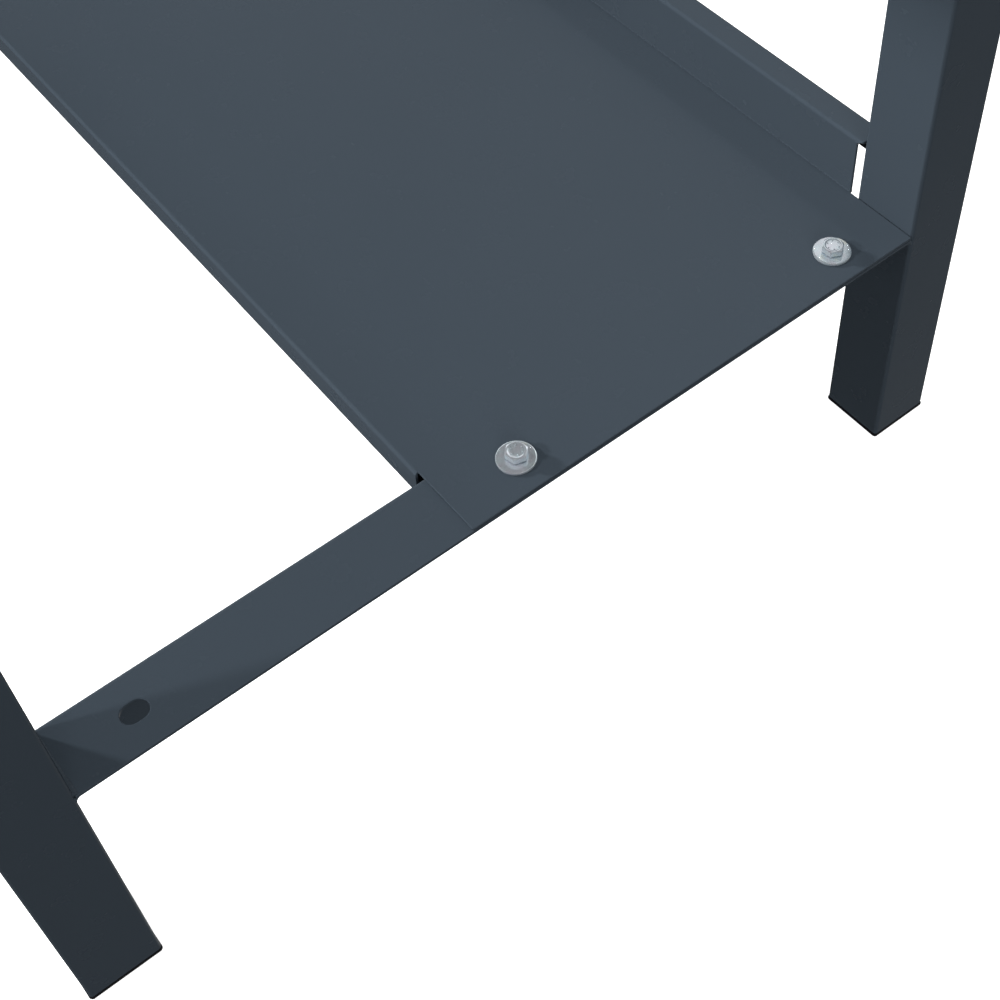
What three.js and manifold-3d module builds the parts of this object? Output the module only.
// Sheet-steel potting bench: two welded end frames joined by two bolted top rails, with a half-depth
// lower shelf and a tray worktop. Millimetres. X runs along the bench, Y from front to back, Z up.
// The origin is on the floor, under the middle of the worktop.
import * as THREE from "three";
import { mergeVertices } from "three/addons/utils/BufferGeometryUtils.js";
import Module from "manifold-3d";

// Overall
const FRAME_LENGTH = 1460; // outer face to outer face of the legs
const FRAME_DEPTH = 716;
const WORK_HEIGHT = 850; // floor to work surface
const OVERHANG = 20; // of the worktop past the legs, on every side
const WELD_GAP = 0.3; // between pieces that meet face to face
const SEAT_GAP = 0.1; // between the stacked pieces of a fastening

// Legs: square hollow section
const TUBE = 50;
const TUBE_WALL = 2;
const TUBE_RADIUS = 2.5;

// Plastic foot plugs
const FOOT_SIZE = 51;
const FOOT_FLANGE = 3;
const FOOT_PLUG_HEIGHT = 22;
const FOOT_PLUG_CLEARANCE = 0.4;
const FOOT_PLUG_START = 1; // the plug and its flange overlap above this height

// Cross-members: bent angles, flat on top, with the other leg turned down on the inner side
const ANGLE_WIDTH = 50;
const ANGLE_HEIGHT = 50;
const ANGLE_THICKNESS = 2.5;
const ANGLE_RADIUS = 3.5; // outside the bend
const LOWER_CROSS_TOP = 210.4;
const SLOT_INSET = 24; // slot centre to the outer face of the legs
const SLOT_PITCH = 259;
const SLOT_WIDTH = 13;
const SLOT_LENGTH = 17;

// Shelf: one bent sheet
const SHEET = 2;
const BEND_RADIUS = 2.5; // outside the bend
const SHELF_DEPTH = 360;
const SHELF_LIP = 22.5;
const SHELF_LIP_RETURN = 20;
const UPSTAND_HEIGHT = 45.5; // above the sheet's upper face
const UPSTAND_FLANGE = 20;
const UPSTAND_TURN_DOWN = 23;
// From the ends of the shelf's formed edges to the inner face of the cross-member
const LIP_RELIEF = 3.7;
const UPSTAND_RELIEF = 6;
const FLANGE_RELIEF = 2;
const SHELF_TO_REAR_LEG = 0.5;

// Worktop: one bent tray
const TRAY_LIP = 40;
const TRAY_LIP_RETURN = 15;

// Stiffeners under the worktop: hat section
const HAT_CROWN = 34;
const HAT_DEPTH = 28;
const HAT_FOOT = 16;
const HAT_SHEET = 1.5;
const HAT_RADIUS = 2.5;
const HAT_OFFSET = 115; // from the middle of the worktop
const HAT_END_CLEARANCE = 12; // to the cross-members

// Top rails: channels open towards the inside, with welded end plates
const RAIL_HEIGHT = 60;
const RAIL_DEPTH = 30;
const RAIL_SHEET = 2.5;
const RAIL_RADIUS = 3.5;
const END_PLATE = 3;
const END_PLATE_MARGIN = 4; // of the plate past the channel, in Y
const RAIL_BOLT_PITCH = 26;

// M8 fasteners
const BOLT_RADIUS = 4;
const HEX_FLATS = 13;
const HEAD_HEIGHT = 5.3;
const NUT_HEIGHT = 6.8;
const WASHER_RADIUS = 12.5;
const WASHER_HOLE = 4.3;
const WASHER_THICKNESS = 2;
const CLEARANCE_HOLE = 4.5;
const FORMED_THREAD_HOLE = 4.3;
const FLANGE_RADIUS = 8.5;
const FLANGE_THICKNESS = 1.5;
const SHELF_BOLT_LENGTH = 20;
const RAIL_BOLT_LENGTH = 14;
const STUD_LENGTH = 16;

const BEND_STEPS = 4; // segments in a bend
const CORNER_STEPS = 2; // half the segments in a tube corner
const SLOT_STEPS = 6; // half the segments in the round end of a slot
const ROUND_STEPS = 12; // half the segments in a circle
const SAME_POINT = 1e-4; // points closer than this are one

// Derived places
const legTop = WORK_HEIGHT - SHEET - WELD_GAP;
const outerX = FRAME_LENGTH / 2;
const outerY = FRAME_DEPTH / 2;
const innerX = outerX - TUBE;
const innerY = outerY - TUBE;
const slotX = outerX - SLOT_INSET;
const shelfUnderside = LOWER_CROSS_TOP + WELD_GAP;
const shelfTop = shelfUnderside + SHEET;

const wasm = await Module();
wasm.setup();

const steel = { color: 0x39434b, roughness: 0.5, metalness: 0.1 };
const zinc = { color: 0xb9c0c4, roughness: 0.3, metalness: 1 };
const plastic = { color: 0x121315, roughness: 0.6, metalness: 0 };

const bench = new THREE.Group();

function addMesh(name, geometry, finish) {
  const mesh = new THREE.Mesh(geometry, new THREE.MeshStandardMaterial(finish));
  mesh.name = name;
  bench.add(mesh);
  return mesh;
}

// --- solids -------------------------------------------------------------------------------------

function toSolid(geometry) {
  const bare = geometry.clone();
  bare.deleteAttribute("normal");
  bare.deleteAttribute("uv");
  const welded = mergeVertices(bare, SAME_POINT);
  return new wasm.Manifold(new wasm.Mesh({
    numProp: 3,
    vertProperties: new Float32Array(welded.attributes.position.array),
    triVerts: new Uint32Array(welded.index.array),
  }));
}

function toGeometry(solid) {
  const mesh = solid.getMesh();
  const geometry = new THREE.BufferGeometry();
  geometry.setAttribute("position", new THREE.BufferAttribute(mesh.vertProperties, 3));
  geometry.setIndex(new THREE.BufferAttribute(mesh.triVerts, 1));
  return geometry;
}

function join(geometries) {
  return toGeometry(geometries.map(toSolid).reduce((whole, piece) => whole.add(piece)));
}

function cut(geometry, tools) {
  return toGeometry(tools.map(toSolid).reduce((whole, tool) => whole.subtract(tool), toSolid(geometry)));
}

// --- outlines -----------------------------------------------------------------------------------

function roundedSquare(path, size, radius) {
  const far = size / 2;
  const near = far - radius;
  path.moveTo(near, -far);
  path.absarc(near, -near, radius, -Math.PI / 2, 0);
  path.absarc(near, near, radius, 0, Math.PI / 2);
  path.absarc(-near, near, radius, Math.PI / 2, Math.PI);
  path.absarc(-near, -near, radius, Math.PI, 1.5 * Math.PI);
  path.closePath();
  return path;
}

function circle(path, radius) {
  path.absarc(0, 0, radius, 0, 2 * Math.PI);
  return path;
}

function hexagon() {
  const corner = HEX_FLATS / Math.sqrt(3);
  const points = [];
  for (let i = 0; i < 6; i += 1) {
    const angle = (i * Math.PI) / 3;
    points.push(new THREE.Vector2(corner * Math.cos(angle), corner * Math.sin(angle)));
  }
  return new THREE.Shape(points);
}

// Outline of a sheet bent along a path of its mid-line, with a round bend at every inner point.
function bentSheet(points, thickness, outsideRadius) {
  const path = points.map(([x, y]) => new THREE.Vector2(x, y));
  const radius = outsideRadius - thickness / 2;
  const samples = [];
  const direction = (from, to) => to.clone().sub(from).normalize();
  const sample = (point, along) => samples.push({ point, side: new THREE.Vector2(-along.y, along.x) });
  sample(path[0], direction(path[0], path[1]));
  for (let i = 1; i < path.length - 1; i += 1) {
    const before = direction(path[i - 1], path[i]);
    const after = direction(path[i], path[i + 1]);
    const turn = Math.atan2(before.cross(after), before.dot(after));
    const start = path[i].clone().addScaledVector(before, -radius * Math.tan(Math.abs(turn) / 2));
    const inward = new THREE.Vector2(-before.y, before.x).multiplyScalar(Math.sign(turn));
    const centre = start.clone().addScaledVector(inward, radius);
    for (let step = 0; step <= BEND_STEPS; step += 1) {
      const angle = (turn * step) / BEND_STEPS;
      const point = start.clone().rotateAround(centre, angle);
      sample(point, before.clone().rotateAround(new THREE.Vector2(), angle));
    }
  }
  sample(path[path.length - 1], direction(path[path.length - 2], path[path.length - 1]));
  const face = (offset) => samples.map(({ point, side }) => point.clone().addScaledVector(side, offset));
  const outline = [...face(-thickness / 2), ...face(thickness / 2).reverse()];
  const isNew = (point, i) => i === 0 || point.distanceTo(outline[i - 1]) > SAME_POINT;
  return new THREE.Shape(outline.filter(isNew));
}

// --- extrusions ---------------------------------------------------------------------------------

function extrude(shape, depth, steps) {
  return new THREE.ExtrudeGeometry(shape, { depth, bevelEnabled: false, curveSegments: steps });
}

// An outline drawn in (Y, Z), drawn out along X between two places.
function alongX(shape, fromX, toX, steps = ROUND_STEPS) {
  const axes = new THREE.Matrix4().makeBasis(
    new THREE.Vector3(0, 1, 0),
    new THREE.Vector3(0, 0, 1),
    new THREE.Vector3(1, 0, 0),
  );
  return extrude(shape, toX - fromX, steps).applyMatrix4(axes).translate(fromX, 0, 0);
}

// An outline drawn in (X, Z), drawn out along Y between two places.
function alongY(shape, fromY, toY) {
  return extrude(shape, toY - fromY, ROUND_STEPS).rotateX(Math.PI / 2).translate(0, toY, 0);
}

function alongZ(shape, fromZ, toZ, steps = ROUND_STEPS) {
  return extrude(shape, toZ - fromZ, steps).translate(0, 0, fromZ);
}

function block(low, high) {
  const size = high.map((value, i) => value - low[i]);
  return new THREE.BoxGeometry(...size).translate(...low.map((value, i) => value + size[i] / 2));
}

function slotTool(x, y, fromZ, toZ) {
  const radius = SLOT_WIDTH / 2;
  const half = SLOT_LENGTH / 2 - radius;
  const shape = new THREE.Shape();
  shape.absarc(0, half, radius, 0, Math.PI);
  shape.absarc(0, -half, radius, Math.PI, 2 * Math.PI);
  shape.closePath();
  return alongZ(shape, fromZ, toZ, SLOT_STEPS).translate(x, y, 0);
}

function roundTool(x, y, radius, fromZ, toZ) {
  return alongZ(circle(new THREE.Shape(), radius), fromZ, toZ).translate(x, y, 0);
}

// --- end frames ---------------------------------------------------------------------------------

const railMiddleZ = legTop - RAIL_HEIGHT / 2;
const railMiddleY = outerY - TUBE / 2;
const railBoltY = railMiddleY - RAIL_SHEET / 2;
const railBoltZs = [railMiddleZ - RAIL_BOLT_PITCH / 2, railMiddleZ + RAIL_BOLT_PITCH / 2];

const ends = [{ name: "left", sign: -1 }, { name: "right", sign: 1 }];
const sides = [{ name: "front", sign: -1 }, { name: "rear", sign: 1 }];

function legTube(endSign, sideSign) {
  const section = roundedSquare(new THREE.Shape(), TUBE, TUBE_RADIUS);
  section.holes.push(roundedSquare(new THREE.Path(), TUBE - 2 * TUBE_WALL, TUBE_RADIUS - TUBE_WALL / 2));
  const tube = alongZ(section, FOOT_FLANGE + WELD_GAP, legTop, CORNER_STEPS);
  const holes = railBoltZs.map((z) => {
    const hole = circle(new THREE.Shape(), FORMED_THREAD_HOLE);
    const offset = sideSign * (railBoltY - railMiddleY);
    const inside = -endSign * TUBE / 2;
    return alongX(hole, inside - 2 * TUBE_WALL, inside + 2 * TUBE_WALL).translate(0, offset, z);
  });
  return cut(tube, holes);
}

function footPlug() {
  const plugSize = TUBE - 2 * (TUBE_WALL + FOOT_PLUG_CLEARANCE);
  const plugTop = FOOT_FLANGE + FOOT_PLUG_HEIGHT;
  const square = (size) => roundedSquare(new THREE.Shape(), size, TUBE_RADIUS);
  return join([
    alongZ(square(FOOT_SIZE), 0, FOOT_FLANGE, CORNER_STEPS),
    alongZ(square(plugSize), FOOT_PLUG_START, plugTop, CORNER_STEPS),
  ]);
}

// The cross-member of one end, its upper face at topZ.
function crossMember(endSign, topZ) {
  const mid = ANGLE_THICKNESS / 2;
  const inner = outerX - ANGLE_WIDTH + mid;
  const path = [
    [endSign * outerX, topZ - mid],
    [endSign * inner, topZ - mid],
    [endSign * inner, topZ - ANGLE_HEIGHT],
  ];
  const angle = alongY(bentSheet(path, ANGLE_THICKNESS, ANGLE_RADIUS), -innerY + WELD_GAP, innerY - WELD_GAP);
  const slots = [-1, 0, 1].map((place) => (
    slotTool(endSign * slotX, place * SLOT_PITCH, topZ - 2 * ANGLE_THICKNESS, topZ + ANGLE_THICKNESS)
  ));
  return cut(angle, slots);
}

for (const end of ends) {
  for (const side of sides) {
    const x = end.sign * (outerX - TUBE / 2);
    const y = side.sign * (outerY - TUBE / 2);
    addMesh(`leg_${side.name}_${end.name}`, legTube(end.sign, side.sign), steel).position.set(x, y, 0);
    addMesh(`foot_plug_${side.name}_${end.name}`, footPlug(), plastic).position.set(x, y, 0);
  }
  addMesh(`lower_cross_member_${end.name}`, crossMember(end.sign, LOWER_CROSS_TOP), steel);
  addMesh(`upper_cross_member_${end.name}`, crossMember(end.sign, legTop), steel);
}

// --- shelf --------------------------------------------------------------------------------------

// The path of a sheet with a lip and return in front and an upstand, flange and turn-down behind.
function trayPath(frontY, upstandY, topZ, lip, lipReturn) {
  const mid = SHEET / 2;
  const flatZ = topZ - mid;
  const lipY = frontY + mid;
  const lipZ = topZ - lip + mid;
  const wallY = upstandY + mid;
  const flangeZ = topZ + UPSTAND_HEIGHT - mid;
  const turnY = upstandY + UPSTAND_FLANGE - mid;
  return [
    [frontY + lipReturn, lipZ],
    [lipY, lipZ],
    [lipY, flatZ],
    [wallY, flatZ],
    [wallY, flangeZ],
    [turnY, flangeZ],
    [turnY, topZ + UPSTAND_HEIGHT - UPSTAND_TURN_DOWN],
  ];
}

const shelfBack = innerY - SHELF_TO_REAR_LEG;
const shelfFront = shelfBack - SHELF_DEPTH;
const shelfBoltYs = [{ name: "front", y: 0 }, { name: "rear", y: SLOT_PITCH }];

function shelf() {
  const crossX = outerX - ANGLE_WIDTH;
  const path = trayPath(shelfFront, shelfBack, shelfTop, SHELF_LIP, SHELF_LIP_RETURN);
  const formed = (line, relief) => (
    alongX(bentSheet(line, SHEET, BEND_RADIUS), relief - crossX, crossX - relief)
  );
  const body = formed(path, UPSTAND_RELIEF);
  const flatStart = [shelfFront + 4 * BEND_RADIUS, path[2][1]];
  const lip = formed([...path.slice(0, 3), flatStart], LIP_RELIEF);
  const flangeStart = [shelfBack + BEND_RADIUS, path[5][1]];
  const flange = formed([flangeStart, ...path.slice(5)], FLANGE_RELIEF);
  const tongues = ends.map(({ sign }) => {
    const xs = [sign * (crossX - UPSTAND_RELIEF), sign * outerX].sort((a, b) => a - b);
    return block([xs[0], shelfFront + BEND_RADIUS, shelfUnderside], [xs[1], shelfBack, shelfTop]);
  });
  const holes = ends.flatMap(({ sign }) => shelfBoltYs.map(({ y }) => (
    roundTool(sign * slotX, y, CLEARANCE_HOLE, shelfUnderside - SHEET, shelfTop + SHEET)
  )));
  return cut(join([body, lip, flange, ...tongues]), holes);
}

addMesh("lower_shelf", shelf(), steel);

// --- worktop ------------------------------------------------------------------------------------

const trayX = outerX + OVERHANG;
const trayFront = -outerY - OVERHANG;

function worktop() {
  const mid = SHEET / 2;
  const path = trayPath(trayFront, outerY, WORK_HEIGHT, TRAY_LIP, TRAY_LIP_RETURN);
  const bendX = trayX - BEND_RADIUS;
  const tray = alongX(bentSheet(path, SHEET, BEND_RADIUS), -bendX, bendX);
  const endLips = ends.map(({ sign }) => {
    const lipPath = [
      [sign * bendX, WORK_HEIGHT - mid],
      [sign * (trayX - mid), WORK_HEIGHT - mid],
      [sign * (trayX - mid), WORK_HEIGHT - TRAY_LIP],
    ];
    return alongY(bentSheet(lipPath, SHEET, BEND_RADIUS), trayFront + BEND_RADIUS, outerY - BEND_RADIUS);
  });
  return join([tray, ...endLips]);
}

addMesh("worktop", worktop(), steel);

function hatStiffener() {
  const mid = HAT_SHEET / 2;
  const footZ = legTop - mid;
  const crownZ = legTop - HAT_DEPTH + mid;
  const wallY = HAT_CROWN / 2 - mid;
  const footY = HAT_CROWN / 2 + HAT_FOOT;
  const path = [
    [-footY, footZ],
    [-wallY, footZ],
    [-wallY, crownZ],
    [wallY, crownZ],
    [wallY, footZ],
    [footY, footZ],
  ];
  const reach = innerX - HAT_END_CLEARANCE;
  return alongX(bentSheet(path, HAT_SHEET, HAT_RADIUS), -reach, reach);
}

for (const side of sides) {
  const stiffener = addMesh(`worktop_stiffener_${side.name}`, hatStiffener(), steel);
  stiffener.position.y = side.sign * HAT_OFFSET;
}

// --- top rails ----------------------------------------------------------------------------------

const plateFace = innerX - WELD_GAP; // the face of an end plate that meets the leg
const railReach = plateFace - END_PLATE - WELD_GAP;

function rail(sideSign) {
  const mid = RAIL_SHEET / 2;
  const openY = sideSign * (railMiddleY - RAIL_DEPTH / 2);
  const webY = sideSign * (railMiddleY + RAIL_DEPTH / 2 - mid);
  const low = legTop - RAIL_HEIGHT + mid;
  const high = legTop - mid;
  const path = [[openY, low], [webY, low], [webY, high], [openY, high]];
  return alongX(bentSheet(path, RAIL_SHEET, RAIL_RADIUS), -railReach, railReach);
}

function endPlate(endSign, sideSign) {
  const halfDepth = RAIL_DEPTH / 2 + END_PLATE_MARGIN;
  const xs = [endSign * (plateFace - END_PLATE), endSign * plateFace].sort((a, b) => a - b);
  const y = sideSign * railMiddleY;
  const plate = block([xs[0], y - halfDepth, legTop - RAIL_HEIGHT], [xs[1], y + halfDepth, legTop]);
  const holes = railBoltZs.map((z) => (
    alongX(circle(new THREE.Shape(), CLEARANCE_HOLE), xs[0] - END_PLATE, xs[1] + END_PLATE)
      .translate(0, sideSign * railBoltY, z)
  ));
  return cut(plate, holes);
}

for (const side of sides) {
  addMesh(`top_rail_${side.name}`, rail(side.sign), steel);
  for (const end of ends) {
    addMesh(`rail_end_plate_${side.name}_${end.name}`, endPlate(end.sign, side.sign), steel);
  }
}

// --- fasteners ----------------------------------------------------------------------------------

// Each is made on the Z axis, with the face that it seats on at Z = 0 and its head, if any, above.

function hexBolt(length) {
  const head = alongZ(hexagon(), 0, HEAD_HEIGHT);
  const shank = alongZ(circle(new THREE.Shape(), BOLT_RADIUS), -length, HEAD_HEIGHT / 2);
  return join([head, shank]);
}

function flangeBolt(length) {
  const flange = alongZ(circle(new THREE.Shape(), FLANGE_RADIUS), 0, FLANGE_THICKNESS);
  return join([flange, hexBolt(length)]);
}

function stud(length) {
  return alongZ(circle(new THREE.Shape(), BOLT_RADIUS), -length, 0);
}

function washer() {
  const ring = circle(new THREE.Shape(), WASHER_RADIUS);
  ring.holes.push(circle(new THREE.Path(), WASHER_HOLE));
  return alongZ(ring, 0, WASHER_THICKNESS);
}

function nut() {
  const ring = hexagon();
  ring.holes.push(circle(new THREE.Path(), WASHER_HOLE));
  return alongZ(ring, 0, NUT_HEIGHT);
}

// A washer and a nut under a cross-member whose upper face is at topZ.
function addWasherAndNut(prefix, place, x, y, topZ) {
  const washerZ = topZ - ANGLE_THICKNESS - SEAT_GAP - WASHER_THICKNESS;
  addMesh(`${prefix}_lower_washer_${place}`, washer(), zinc).position.set(x, y, washerZ);
  addMesh(`${prefix}_nut_${place}`, nut(), zinc).position.set(x, y, washerZ - SEAT_GAP - NUT_HEIGHT);
}

for (const end of ends) {
  const x = end.sign * slotX;
  for (const bolt of shelfBoltYs) {
    const place = `${bolt.name}_${end.name}`;
    const washerZ = shelfTop + SEAT_GAP;
    const headZ = washerZ + WASHER_THICKNESS + SEAT_GAP;
    addMesh(`shelf_bolt_${place}`, hexBolt(SHELF_BOLT_LENGTH), zinc).position.set(x, bolt.y, headZ);
    addMesh(`shelf_washer_${place}`, washer(), zinc).position.set(x, bolt.y, washerZ);
    addWasherAndNut("shelf", place, x, bolt.y, LOWER_CROSS_TOP);
  }
  for (const side of sides) {
    const place = `${side.name}_${end.name}`;
    const y = side.sign * SLOT_PITCH;
    addMesh(`worktop_stud_${place}`, stud(STUD_LENGTH), zinc).position.set(x, y, legTop);
    addWasherAndNut("worktop", place, x, y, legTop);
    railBoltZs.forEach((z, i) => {
      const level = ["lower", "upper"][i];
      const bolt = addMesh(`rail_bolt_${level}_${place}`, flangeBolt(RAIL_BOLT_LENGTH), zinc);
      bolt.position.set(end.sign * (plateFace - END_PLATE - WELD_GAP), side.sign * railBoltY, z);
      bolt.rotation.y = -end.sign * Math.PI / 2;
    });
  }
}

export default bench;
